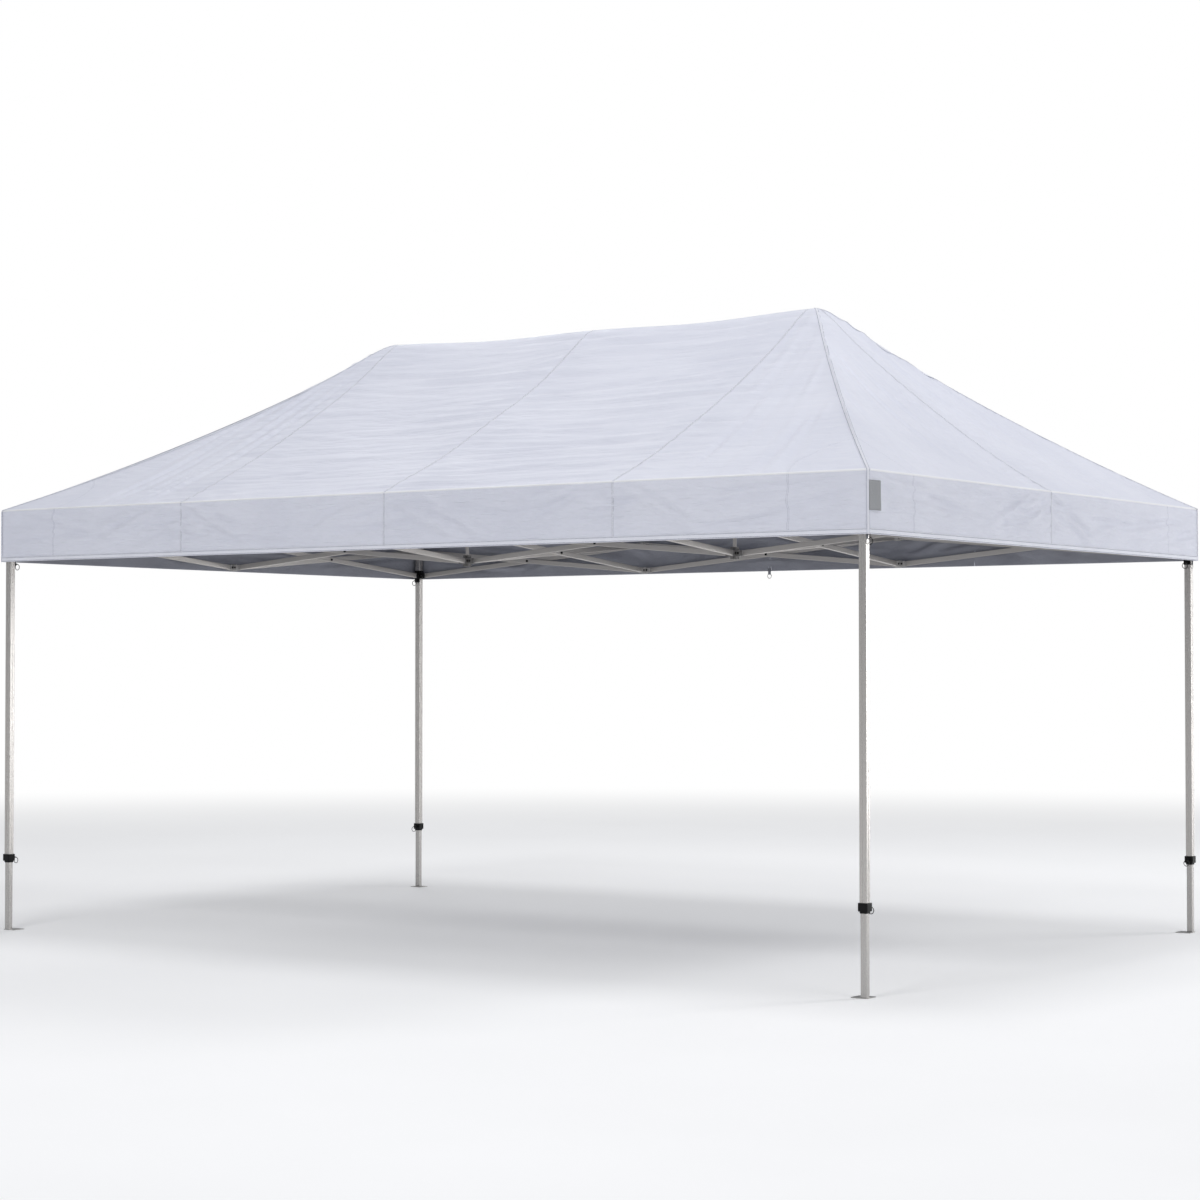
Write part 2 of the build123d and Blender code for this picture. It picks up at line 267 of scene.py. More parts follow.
INWARD = 0.0055  # the valance hangs clear of the frame's brackets
OUTWARD = 0.0143
BULGE = 0.0035
END_PHASE = 40.0  # keeps the ends' ripples unlike the long sides'


def valance_offset(s, drop, half, long_side):
    """How far the valance stands out from its plane, at s from its middle and that far below the eave."""
    down = drop / VALANCE
    phase = s + (0.0 if long_side else END_PHASE)
    loose = LONG_FOLDS if long_side else END_FOLDS
    out = BULGE * smooth(0, 0.35, down) + 0.0060 * VALANCE_SWAY(phase, drop) * smooth(0, 0.9, down)
    out = out + 0.0040 * VALANCE_SOFT(phase, drop) * smooth(0.1, 0.5, down)
    out = out + loose(s, drop) * smooth(0, 0.12, down) * (1 - smooth(0.72, 0.97, down))
    seam = seam_distance(s, long_side)
    out = out * (0.15 + 0.85 * near_seam(seam))
    pull = -0.0020 * np.exp(-(seam**2) / 0.0009)
    corner = np.abs(np.abs(s) - half)
    out = (out + pull * smooth(0.05, 0.3, down)) * smooth(0.02, 0.16, corner)
    most = np.where(out < 0, INWARD, OUTWARD)
    return most * np.tanh(out / most)


# ---------------------------------------------------------------- how fabric gathers on the folding frame

PLEAT = 0.31  # from one pleat to the next
PLEAT_DEPTH = 0.075
HEAP = 0.11  # how high a pleat of the roof stands
FLATTEN = 0.88  # share of the roof's rise that goes when the posts are down
POST_TRAVEL = 1.08  # the roof is flat when the posts have come down this far
EAVE_BAND = 0.004
ROOT = "upper_bracket_centre_left"
CORNERS = {
    (0, 0): "leg_front_left",
    (1, 0): "leg_front_right",
    (0, 1): "leg_rear_left",
    (1, 1): "leg_rear_right",
}


def store(mesh, name, values):
    kind = "FLOAT_VECTOR" if np.ndim(values) == 2 else "FLOAT"
    attribute = mesh.attributes.new(name, kind, "POINT")
    field = "vector" if kind == "FLOAT_VECTOR" else "value"
    attribute.data.foreach_set(field, np.asarray(values, np.float32).ravel())


def store_fold(mesh, anchor=None):
    """Where each point hangs between the legs, and how it pleats as they draw together.
    With an anchor the whole mesh moves as that one point does."""
    co = np.array([v.co for v in mesh.vertices], float).reshape(-1, 3)
    at = co if anchor is None else np.repeat(np.array([anchor], float), len(co), 0)
    x, y, z = at.T
    store(mesh, "fold_u", np.clip((x + LEG_X) / (2 * LEG_X), 0, 1))
    store(mesh, "fold_v", np.clip((y + LEG_Y) / (2 * LEG_Y), 0, 1))
    store(mesh, "fold_lift", np.maximum(z - EAVE_Z, 0))
    pleats = pleat_moves(x, y, z) if anchor is None else (np.zeros_like(co), np.zeros_like(co))
    store(mesh, "pleat_x", pleats[0])
    store(mesh, "pleat_y", pleats[1])


def pleat_moves(x, y, z):
    """How each point moves in a fully gathered pleat: where X is gathered, and where Y is."""
    t = share_at(x, y)
    on_roof = z > EAVE_Z - EAVE_BAND
    long_side = np.abs(y) / HALF_Y >= (np.abs(x) - RIDGE_HALF) / (HALF_X - RIDGE_HALF)
    roof_reach = np.where(long_side, end_out(t), HALF_Y * t)
    reach = np.where(on_roof, roof_reach, np.where(long_side, HALF_X, HALF_Y))
    s = np.where(long_side, x, y)
    free = smooth(0.0, 0.16, reach - np.abs(s))
    wander = 0.8 * np.sin(2.1 * s + 1.0) + 0.5 * np.sin(5.3 * s)
    wave = (0.5 + 0.5 * np.sin(2 * np.pi * s / PLEAT + wander)) * free
    out = PLEAT_DEPTH * wave * np.where(on_roof, smooth(0.72, 1.0, t), 1.0 + 0.6 * (EAVE_Z - z))
    up = HEAP * wave * np.where(on_roof, 1 - smooth(0.80, 1.0, t), 0.0)
    none = np.zeros_like(s)
    where_x = np.stack([none, out * np.sign(y), up], 1) * long_side[:, None]
    where_y = np.stack([out * np.sign(x), none, up], 1) * ~long_side[:, None]
    return where_x, where_y


class Nodes:
    """Short hand for building a node tree."""

    def __init__(self, tree):
        self.tree = tree

    def add(self, kind, inputs=(), **settings):
        node = self.tree.nodes.new(kind)
        for key, value in settings.items():
            setattr(node, key, value)
        for key, value in dict(inputs).items():
            if isinstance(value, bpy.types.NodeSocket):
                self.tree.links.new(value, node.inputs[key])
            else:
                node.inputs[key].default_value = value
        return node

    def math(self, operation, a, b=0.0, clamp=False):
        return self.add("ShaderNodeMath", {0: a, 1: b}, operation=operation, use_clamp=clamp).outputs[0]

    def vector(self, operation, a, b):
        return self.add("ShaderNodeVectorMath", {0: a, 1: b}, operation=operation).outputs[0]

    def scaled(self, a, factor):
        return self.add("ShaderNodeVectorMath", {0: a, "Scale": factor}, operation="SCALE").outputs[0]

    def split(self, vector):
        return self.add("ShaderNodeSeparateXYZ", {0: vector}).outputs

    def join(self, x=0.0, y=0.0, z=0.0):
        return self.add("ShaderNodeCombineXYZ", {0: x, 1: y, 2: z}).outputs[0]


def carrying_group(name, offset):
    """Geometry nodes that move a mesh by what offset(nodes) works out."""
    tree = bpy.data.node_groups.new(name, "GeometryNodeTree")
    for way in ("INPUT", "OUTPUT"):
        tree.interface.new_socket("Geometry", in_out=way, socket_type="NodeSocketGeometry")
    n = Nodes(tree)
    source = n.add("NodeGroupInput")
    placed = n.add("GeometryNodeSetPosition", {"Geometry": source.outputs[0], "Offset": offset(n)})
    n.add("NodeGroupOutput", {0: placed.outputs[0]})
    return tree


def moved(n, body):
    """How far a body has travelled from rest."""
    return n.add("GeometryNodeObjectInfo", {"Object": frame["bodies"][body]}).outputs["Location"]


def fold_offset(n):
    """Carries fabric with the four legs and the peak posts, and pleats it."""

    def named(name, kind="FLOAT"):
        node = n.add("GeometryNodeInputNamedAttribute", {"Name": name}, data_type=kind)
        return node.outputs["Attribute"]

    def between(a, b, factor):
        return n.vector("ADD", a, n.scaled(n.vector("SUBTRACT", b, a), factor))

    legs = {key: moved(n, body) for key, body in CORNERS.items()}
    u, v = named("fold_u"), named("fold_v")
    drift = between(between(legs[0, 0], legs[1, 0], u), between(legs[0, 1], legs[1, 1], u), v)
    drawn_x = n.split(n.vector("SUBTRACT", legs[0, 0], legs[1, 0]))[0]
    drawn_y = n.split(n.vector("SUBTRACT", legs[0, 0], legs[0, 1]))[1]
    gather_x = n.math("MULTIPLY", drawn_x, 1 / (2 * LEG_X))
    gather_y = n.math("MULTIPLY", drawn_y, 1 / (2 * LEG_Y))
    post_fall = n.split(moved(n, "peak_post_left"))[2]
    fallen = n.math("MULTIPLY", post_fall, -1 / POST_TRAVEL, clamp=True)
    sunk = n.math("MULTIPLY", n.math("MULTIPLY", fallen, named("fold_lift")), -FLATTEN)
    offset = n.vector("ADD", drift, n.join(z=sunk))
    offset = n.vector("ADD", offset, n.scaled(named("pleat_x", "FLOAT_VECTOR"), gather_x))
    return n.vector("ADD", offset, n.scaled(named("pleat_y", "FLOAT_VECTOR"), gather_y))


FOLD = carrying_group("fabric_fold", fold_offset)


def carry(piece, group):
    piece.modifiers.new("fold", "NODES").node_group = group


def folds(piece, anchor=None):
    """Lets a fabric piece gather with the frame. It rides on the body that the others fold towards."""
    store_fold(piece.data, anchor)
    carry(piece, FOLD)
    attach(piece, ROOT)


def solidify(piece, thickness, offset=-1.0, inner_slot=0):
    modifier = piece.modifiers.new("thickness", "SOLIDIFY")
    modifier.thickness = thickness
    modifier.offset = offset
    modifier.use_even_offset = False
    modifier.material_offset = inner_slot


# ---------------------------------------------------------------- meshes


def new_mesh(name, vertices, faces, materials, smooth_faces=True):
    mesh = bpy.data.meshes.new(name)
    mesh.from_pydata([tuple(map(float, v)) for v in vertices], [], [tuple(map(int, f)) for f in faces])
    for m in materials:
        mesh.materials.append(m)
    mesh.polygons.foreach_set("use_smooth", [smooth_faces] * len(mesh.polygons))
    mesh.update()
    piece = bpy.data.objects.new(name, mesh)
    bpy.context.scene.collection.objects.link(piece)
    return piece


def grid_faces(rows, columns, start=0, flip=False):
    """Quads over a grid of points, row by row."""
    faces = []
    for r in range(rows - 1):
        for c in range(columns - 1):
            a = start + r * columns + c
            quad = (a, a + 1, a + columns + 1, a + columns)
            faces.append(quad[::-1] if flip else quad)
    return faces


def roof_rows():
    """Shares from ridge to eave, closer together at both."""
    even = np.linspace(0, 1, ROOF_ROWS)
    return even - 0.16 * np.sin(2 * np.pi * even) / (2 * np.pi)


def half_along(long_side):
    return HALF_X if long_side else HALF_Y


def half_out(long_side):
    return HALF_Y if long_side else HALF_X


def on_side(side, along, out, z):
    """Points on one side of the canopy, by their distance along it, out from the middle and up."""
    x, y = {
        "front": (along, -out),
        "rear": (-along, out),
        "right": (out, along),
        "left": (-out, -along),
    }[side]
    return np.stack([x, y, z], 1)


def face_points(side):
    """One face of the roof with the valance below it, as a grid of rows from ridge to hem."""
    long_side = side in ("front", "rear")
    spread = np.linspace(-1, 1, (LONG_COLUMNS if long_side else SHORT_COLUMNS) + 1)
    rows = []
    for t in roof_rows():
        across = spread * (end_out(t) if long_side else HALF_Y * t)
        out = np.full_like(across, HALF_Y * t if long_side else end_out(t))
        x, y = (across, out) if long_side else (out, across)
        rows.append(on_side(side, across, out, roof_height(x, y, long_side)))
    half = half_along(long_side)
    across = spread * half
    for drop in np.linspace(0, VALANCE, VALANCE_ROWS + 1)[1:]:
        out = half_out(long_side) + valance_offset(across, drop, half, long_side)
        rows.append(on_side(side, across, out, np.full_like(across, EAVE_Z - drop)))
    return np.concatenate(rows), len(rows), len(spread)


# ---------------------------------------------------------------- materials


def material(name):
    m = bpy.data.materials.new(name)
    m.use_nodes = True
    m.node_tree.nodes.clear()
    return m, Nodes(m.node_tree)


def ramp(n, factor, low, high, colour_low, colour_high):
    """A colour between two, as factor goes from low to high."""
    share = n.add("ShaderNodeMapRange", {0: factor, 1: low, 2: high, 3: 0.0, 4: 1.0}).outputs[0]
    return mix(n, share, colour_low, colour_high)


def step_up(n, factor, low, high, most):
    """0 below low, and from there up to most at high."""
    return n.add("ShaderNodeMapRange", {0: factor, 1: low, 2: high, 3: 0.0, 4: most}).outputs[0]


def mix(n, factor, a, b):
    node = n.add("ShaderNodeMix", data_type="RGBA")
    for key, value in ((0, factor), (6, a), (7, b)):
        if isinstance(value, bpy.types.NodeSocket):
            n.tree.links.new(value, node.inputs[key])
        else:
            node.inputs[key].default_value = value if key == 0 else (*value, 1.0)
    return node.outputs[2]


def texture(n, vector, scale, detail=3.0, roughness=0.55):
    """Noise from 0 to 1 at a point. The scale is in cycles per metre."""
    settings = {"Vector": vector, "Scale": scale, "Detail": detail, "Roughness": roughness}
    return n.add("ShaderNodeTexNoise", settings).outputs["Fac"]


BUMP_UNIT = 0.001  # height maps are in millimetres


def shade(n, base, roughness, height, metallic=0.0, sheen=0.0, specular=0.5):
    """Ends a material in one Principled shader, with a bump of that height map."""
    bump = n.add("ShaderNodeBump", {"Height": height, "Distance": BUMP_UNIT, "Strength": 1.0})
    inputs = {
        "Base Color": base if isinstance(base, bpy.types.NodeSocket) else (*base, 1.0),
        "Roughness": roughness,
        "Metallic": metallic,
        "Sheen Weight": sheen,
        "Sheen Roughness": 0.4,
        "Specular IOR Level": specular,
        "Normal": bump.outputs[0],
    }
    shader = n.add("ShaderNodeBsdfPrincipled", inputs)
    n.add("ShaderNodeOutputMaterial", {0: shader.outputs[0]})


def rest_point(n):
    return n.add("ShaderNodeAttribute", attribute_name="rest").outputs["Vector"]


def object_point(n):
    return n.add("ShaderNodeTexCoord").outputs["Object"]


def near(n, value, centre, width):
    """1 within width of centre, 0 beyond it."""
    off = n.math("ABSOLUTE", n.math("SUBTRACT", value, centre))
    return n.math("LESS_THAN", off, width)


WEAVE = 950.0  # threads per metre
STITCH = 0.0055  # from one stitch to the next
ROW = 0.004  # from the middle of a double row of stitches to each row
THREAD = (0.20, 0.22, 0.32)
TAPE_COLOUR = (0.815, 0.828, 0.900)
EAVE_HIGHLIGHT = (0.93, 0.935, 0.965)  # painted highlight on the fabric where it folds over the eave


def weave(n, a, b):
    """Crossing threads, from -1 to 1, on two surface coordinates in metres."""
    warp = n.math("SINE", n.math("MULTIPLY", a, WEAVE * 2 * math.pi))
    weft = n.math("SINE", n.math("MULTIPLY", b, WEAVE * 2 * math.pi))
    return n.math("MULTIPLY", warp, weft)


def cloth_height(n, point, a, b, stretch):
    """Weave and small creases, in millimetres."""
    crease = texture(n, n.vector("MULTIPLY", point, stretch), 3.2, 4.0, 0.55)
    fine = texture(n, n.vector("MULTIPLY", point, stretch), 11.0, 4.0, 0.6)
    height = n.math("ADD", n.math("MULTIPLY", crease, 8.0), n.math("MULTIPLY", fine, 1.6))
    return n.math("ADD", height, n.math("MULTIPLY", weave(n, a, b), 0.05))


def stitch_rows(n, across, along, rows, width=0.0010):
    """1 on the threads of straight stitch rows."""
    dash = n.math("GREATER_THAN", n.math("FRACT", n.math("MULTIPLY", along, 1 / STITCH)), 0.28)
    on = 0.0
    for row in rows:
        on = n.math("MAXIMUM", on, near(n, across, row, width))
    return n.math("MULTIPLY", on, dash)


def patch_stitches(n, x, y, z, long_side, below):
    """The stitches around each corner's patch: straight ones down the valance, an arc on the roof."""
    along = n.math("ABSOLUTE", x if long_side else y)
    from_corner = n.math("SUBTRACT", half_along(long_side) - PATCH, along)
    straight = n.math("MULTIPLY", stitch_rows(n, from_corner, z, (-ROW, ROW)), below)
    dx = n.math("SUBTRACT", HALF_X, n.math("ABSOLUTE", x))
    dy = n.math("SUBTRACT", HALF_Y, n.math("ABSOLUTE", y))
    away = n.math("SQRT", n.math("ADD", n.math("MULTIPLY", dx, dx), n.math("MULTIPLY", dy, dy)))
    bulge = n.math("DIVIDE", n.math("MULTIPLY", dx, dy), n.math("MULTIPLY", away, away))
    from_arc = n.math("SUBTRACT", n.math("SUBTRACT", away, n.math("MULTIPLY", bulge, 0.2)), PATCH)
    arc = stitch_rows(n, from_arc, n.math("SUBTRACT", x, y), (-ROW, ROW))
    arc = n.math("MULTIPLY", arc, n.math("SUBTRACT", 1.0, below))
    return n.math("MAXIMUM", n.math("MULTIPLY", straight, 0.6), n.math("MULTIPLY", arc, 0.35))


def canopy_fabric(name, long_side):
    """White coated cloth, with a painted highlight along its fold over the eave, and stitched corner patches.
    """
    m, n = material(name)
    point = rest_point(n)
    x, y, z = n.split(point)
    slope = n.math("MULTIPLY", y if long_side else x, 1.13)
    down = n.math("SUBTRACT", z, n.math("ABSOLUTE", slope))
    mottle = texture(n, point, 1.7, 4.0)
    base = ramp(n, mottle, 0.3, 0.7, (0.728, 0.745, 0.842), (0.785, 0.800, 0.890))
    # Painted highlight: the cloth is lightened within 6 mm of the eave, where its rounded fold would catch
    # the light.
    base = mix(n, n.math("MULTIPLY", near(n, z, EAVE_Z, 0.0060), 0.9), base, EAVE_HIGHLIGHT)
    below = n.math("LESS_THAN", z, EAVE_Z - EAVE_BAND)
    patch = patch_stitches(n, x, y, z, long_side, below)
    stretch = (1.5, 7.0, 9.0) if long_side else (7.0, 1.5, 9.0)
    height = cloth_height(n, point, x if long_side else y, down, stretch)
    height = n.math("MULTIPLY", height, n.math("ADD", 1.0, n.math("MULTIPLY", below, 1.3)))
    height = n.math("SUBTRACT", height, n.math("MULTIPLY", patch, 0.4))
    shade(n, mix(n, patch, base, THREAD), 0.62, height, sheen=0.15, specular=0.32)
    return m


def lining_fabric():
    """The roof's underside, with a slate coating that shows the weave faintly."""
    m, n = material("canopy_lining")
    point = rest_point(n)
    x, y, _ = n.split(point)
    base = ramp(n, texture(n, point, 2.3, 4.0), 0.3, 0.7, (0.255, 0.262, 0.300), (0.300, 0.308, 0.350))
    shade(n, base, 0.70, cloth_height(n, point, x, y, (4.0, 4.0, 6.0)), specular=0.25)
    return m


def tape_fabric(name, rows, width):
    """Folded seam tape with rows of stitches. across runs from -1 to 1, length is in metres."""
    m, n = material(name)
    across = n.add("ShaderNodeAttribute", attribute_name="across").outputs["Fac"]
    length = n.add("ShaderNodeAttribute", attribute_name="length").outputs["Fac"]
    point = rest_point(n)
    thread = stitch_rows(n, across, length, rows, width=width)
    tint = [0.94 * c for c in TAPE_COLOUR]
    base = ramp(n, texture(n, point, 9.0, 3.0), 0.3, 0.7, tint, TAPE_COLOUR)
    pucker = n.math("SINE", n.math("MULTIPLY", length, 2 * math.pi / 0.011))
    height = n.math("ADD", n.math("MULTIPLY", pucker, 0.10), n.math("MULTIPLY", thread, -0.35))
    height = n.math("ADD", height, n.math("MULTIPLY", texture(n, point, 60.0), 0.3))
    shade(n, mix(n, thread, base, THREAD), 0.6, height, sheen=0.15, specular=0.32)
    return m


def extruded_aluminium(name, colour, axis, roughness=0.36):
    """Satin anodised tube: faint drawing lines along its axis, handling marks and small scratches."""
    m, n = material(name)
    point = object_point(n)
    stretch = [1.0 if k == axis else 60.0 for k in range(3)]
    lines = texture(n, n.vector("MULTIPLY", point, stretch), 9.0, 4.0, 0.6)
    marks = texture(n, point, 14.0, 5.0, 0.65)
    dull = ramp(n, lines, 0.25, 0.75, [0.92 * c for c in colour], colour)
    worn = step_up(n, marks, 0.62, 0.72, 0.18)
    base = mix(n, worn, dull, [min(1.0, 1.25 * c) for c in colour])
    rough = n.math("ADD", n.math("MULTIPLY", lines, 0.16), roughness - 0.08)
    rough = n.math("ADD", rough, n.math("MULTIPLY", marks, 0.03))
    shade(n, base, rough, n.math("MULTIPLY", lines, 0.05), metallic=0.82)
    return m


def moulded_plastic(name, colour, roughness, specular=0.4):
    """Glass-filled nylon: fine spark texture, with paler scuffs."""
    m, n = material(name)
    point = object_point(n)
    grain = texture(n, point, 900.0, 2.0, 0.5)
    scuff = texture(n, n.vector("MULTIPLY", point, (1.0, 1.0, 3.0)), 38.0, 5.0, 0.7)
    worn = step_up(n, scuff, 0.60, 0.74, 0.5)
    base = mix(n, worn, colour, [min(1.0, 1.6 * c + 0.006) for c in colour])
    rough = n.math("ADD", n.math("MULTIPLY", worn, 0.25), roughness)
    height = n.math("ADD", n.math("MULTIPLY", grain, 0.06), n.math("MULTIPLY", scuff, 0.08))
    shade(n, base, rough, height, specular=specular)
    return m


def plated_steel(name, colour, roughness=0.3):
    """Zinc-plated steel with a cloudy, slightly pitted finish."""
    m, n = material(name)
    point = object_point(n)
    cloud = texture(n, point, 55.0, 4.0, 0.6)
    pits = texture(n, point, 420.0, 2.0, 0.5)
    base = ramp(n, cloud, 0.3, 0.7, [0.8 * c for c in colour], colour)
    rough = n.math("ADD", n.math("MULTIPLY", cloud, 0.22), roughness - 0.08)
    height = n.math("ADD", n.math("MULTIPLY", cloud, 0.05), n.math("MULTIPLY", pits, 0.03))
    shade(n, base, rough, height, metallic=0.95)
    return m


def webbing(name, colour):
    """Woven strap, in fine ribs both ways."""
    m, n = material(name)
    point = object_point(n)
    x, y, z = n.split(point)
    ribs = n.math("SINE", n.math("MULTIPLY", z, 2 * math.pi / 0.0021))
    cross = n.math("SINE", n.math("MULTIPLY", n.math("ADD", x, y), 2 * math.pi / 0.0017))
    ribbing = n.math("MULTIPLY", ribs, cross)
    base = ramp(n, ribbing, -1.0, 1.0, [0.7 * c for c in colour], colour)
    shade(n, base, 0.75, n.math("MULTIPLY", ribbing, 0.25))
    return m


LONG_FABRIC = canopy_fabric("canopy_fabric_long", True)
SHORT_FABRIC = canopy_fabric("canopy_fabric_end", False)
LINING = lining_fabric()
HIP_BINDING = tape_fabric("hip_binding", (-0.80, 0.80), 0.14)
SEAM_TAPE = tape_fabric("seam_tape", (-0.55, 0.55), 0.16)
HEM_TAPE = tape_fabric("hem_tape", (-0.72, 0.62), 0.085)
METAL = (0.500, 0.480, 0.460)
LEG_METAL = extruded_aluminium("leg_aluminium", (0.56, 0.54, 0.52), 2, 0.25)
INNER_METAL = extruded_aluminium("inner_leg_aluminium", (0.51, 0.495, 0.48), 2, 0.24)
BAR_METAL_X = extruded_aluminium("bar_aluminium_x", METAL, 0)
BAR_METAL_Y = extruded_aluminium("bar_aluminium_y", METAL, 1)
POST_METAL = extruded_aluminium("post_aluminium", METAL, 2, 0.34)
BLACK = moulded_plastic("black_nylon", (0.0065, 0.0065, 0.0070), 0.42, 0.16)
GREY = moulded_plastic("grey_nylon", (0.40, 0.39, 0.38), 0.5)
DARK_GREY = moulded_plastic("dark_grey_nylon", (0.17, 0.165, 0.16), 0.5)
STEEL = plated_steel("plated_steel", (0.55, 0.54, 0.52))
PIN_STEEL = plated_steel("dark_pins", (0.060, 0.058, 0.058), 0.4)
ROD_PLASTIC = moulded_plastic("fibreglass_rod", (0.10, 0.105, 0.115), 0.4)
DARK_STEEL = plated_steel("dark_rings", (0.050, 0.049, 0.048), 0.35)
STRAP = webbing("ring_webbing", (0.30, 0.31, 0.35))
TAG = webbing("tag_fabric", (0.42, 0.43, 0.45))


# ---------------------------------------------------------------- the canopy


def store_rest(piece):
    co = np.array([v.co for v in piece.data.vertices], float).reshape(-1, 3)
    store(piece.data, "rest", co)


def canopy():
    """Roof and valance in four faces, joined at the ridge, the peaks, the eave's corners and down the
    valance's corners. They are not joined along the hips: a long face's edge sags there, up to 14 mm
    below the end face's at half way, and the hip binding lies over the gap."""
    points, faces, slots = [], [], []
    for side in ("front", "right", "rear", "left"):
        grid, rows, columns = face_points(side)
        start = sum(len(p) for p in points)
        made = grid_faces(rows, columns, start, flip=True)
        points.append(grid)
        faces += made
        slots += [0 if side in ("front", "rear") else 1] * len(made)
    materials = (LONG_FABRIC, SHORT_FABRIC, LINING, LINING)
    piece = new_mesh("canopy_cover", np.concatenate(points), faces, materials)
    piece.data.polygons.foreach_set("material_index", slots)
    weld(piece)
    store_rest(piece)
    folds(piece)
    solidify(piece, SKIN, inner_slot=2)
    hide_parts("canopy")


def weld(piece):
    """Joins faces whose edges coincide."""
    b = bmesh.new()
    b.from_mesh(piece.data)
    bmesh.ops.remove_doubles(b, verts=b.verts, dist=2e-4)
    bmesh.ops.dissolve_degenerate(b, edges=b.edges, dist=1e-5)
    b.to_mesh(piece.data)
    b.free()


TAPE_LIFT = 0.0016
HIP_TAPE = 0.018
SEAM_WIDTH = 0.013
SEAM_THICK = 0.0012
SEAM_ACROSS = np.linspace(-1, 1, 4)
SEAM_DROPS = np.linspace(0.008, VALANCE - HEM * 0.9, 24)
HIP_ACROSS = np.linspace(-1, 1, 7)
HIP_DROPS = np.linspace(0.010, VALANCE, 26)


def tape(name, rows, across, length, finish, thick=0.0016):
    """A strip of seam tape from a grid of points, its rows along the seam."""
    rows = np.asarray(rows)
    count, wide = rows.shape[:2]
    piece = new_mesh(name, rows.reshape(-1, 3), grid_faces(count, wide), (finish,))
    store(piece.data, "across", np.tile(across, count))
    store(piece.data, "length", np.repeat(length, wide))
    store_rest(piece)
    folds(piece)
    solidify(piece, thick, offset=0.0)


def lengths(on_roof, drops, step):
    """How far along its tape each row is, down the roof's rows and then the valance's."""
    middle = np.array(on_roof)[:, (len(on_roof[0]) - 1) // 2]
    gaps = np.linalg.norm(np.diff(middle, axis=0), axis=1)
    return np.cumsum([0.0, *gaps, *[step] * len(drops)])


def hip_tape(sx, sy, name):
    """The binding from a peak down one hip, then down the valance's corner to the hem."""
    direction = np.array([HALF_X - RIDGE_HALF, HALF_Y])
    direction /= np.linalg.norm(direction)
    sideways = np.array([-direction[1], direction[0]]) * HIP_TAPE / 2
    on_roof, on_valance = [], []
    for t in np.linspace(0.004, 0.9985, 120):
        line = []
        for a in HIP_ACROSS:
            x, y = np.array([end_out(t), HALF_Y * t]) + sideways * a
            # the tape's negative half lies on the end face
            z = roof_height(x, y, a >= 0) + TAPE_LIFT + 0.0006 * (1 - a * a)
            line.append((sx * x, sy * y, z))
        on_roof.append(line)
    proud = TAPE_LIFT * 0.9
    for drop in HIP_DROPS:
        line = []
        for a in HIP_ACROSS:
            inwards = abs(a) * HIP_TAPE / 2
            x = HALF_X + proud if a <= 0 else HALF_X - inwards
            y = HALF_Y + proud if a >= 0 else HALF_Y - inwards
            line.append((sx * x, sy * y, EAVE_Z - drop))
        on_valance.append(line)
    length = lengths(on_roof, HIP_DROPS, VALANCE / 25)
    tape(name, on_roof + on_valance, HIP_ACROSS, length, HIP_BINDING)


def face_seam(name, shares, roof_line, valance_line):
    """A thin seam down one face and its valance, from a function for its rows on each."""
    on_roof = [roof_line(t) for t in shares]
    on_valance = [valance_line(drop) for drop in SEAM_DROPS]
    length = lengths(on_roof, SEAM_DROPS, VALANCE / 24)
    tape(name, on_roof + on_valance, SEAM_ACROSS, length, SEAM_TAPE, SEAM_THICK)


def long_seam(at_x, sy, name):
    """A seam from the ridge down the front or rear face."""
    x = at_x + SEAM_ACROSS * SEAM_WIDTH / 2
    s = -sy * x

    def roof_line(t):
        y = np.full_like(x, HALF_Y * t)
        return np.stack([x, sy * y, roof_height(s, y, True) + TAPE_LIFT * 0.8], 1)

    def valance_line(drop):
        out = HALF_Y + valance_offset(s, drop, HALF_X, True) + TAPE_LIFT * 0.7
        return np.stack([x, sy * out, np.full_like(x, EAVE_Z - drop)], 1)

    start = 0.006 if abs(at_x) < PANEL else 0.02
    face_seam(name, np.linspace(start, 0.998, 110), roof_line, valance_line)


def end_seam(sx, name):
    """The seam from a peak down the middle of an end."""
    y = SEAM_ACROSS * SEAM_WIDTH / 2

    def roof_line(t):
        x = np.full_like(y, end_out(t))
        return np.stack([sx * x, y, roof_height(x, y, False) + TAPE_LIFT * 0.8], 1)

    def valance_line(drop):
        out = HALF_X + valance_offset(sx * y, drop, HALF_Y, False) + TAPE_LIFT * 0.7
        return np.stack([sx * out, y, np.full_like(y, EAVE_Z - drop)], 1)

    face_seam(name, np.linspace(0.02, 0.998, 90), roof_line, valance_line)


def hem_band(side, name):
    """The folded hem along the foot of one valance."""
    long_side = side in ("front", "rear")
    half = half_along(long_side)
    drops = VALANCE - HEM / 2 - SEAM_ACROSS * (HEM / 2 - 0.0008)
    along = np.linspace(-half, half, 400 if long_side else 270)
    rows = []
    for s in along:
        line = np.full_like(drops, s)
        out = half_out(long_side) + valance_offset(line, drops, half, long_side) + TAPE_LIFT * 0.55
        rows.append(on_side(side, line, out, EAVE_Z - drops))
    tape(name, rows, SEAM_ACROSS, along + half, HEM_TAPE, thick=0.0022)


canopy()
for sx, end in ((1, "right"), (-1, "left")):
    for sy, side in ((-1, "front"), (1, "rear")):
        hip_tape(sx, sy, f"hip_binding_{side}_{end}")
    end_seam(sx, f"seam_{end}_end")
for sy, side in ((-1, "front"), (1, "rear")):
    for at_x, place in ((-PANEL, "left"), (0.0, "middle"), (PANEL, "right")):
        long_seam(at_x, sy, f"seam_{side}_{place}")
for side in ("front", "right", "rear", "left"):
    hem_band(side, f"hem_{side}")


# ---------------------------------------------------------------- finishes on the CAD frame


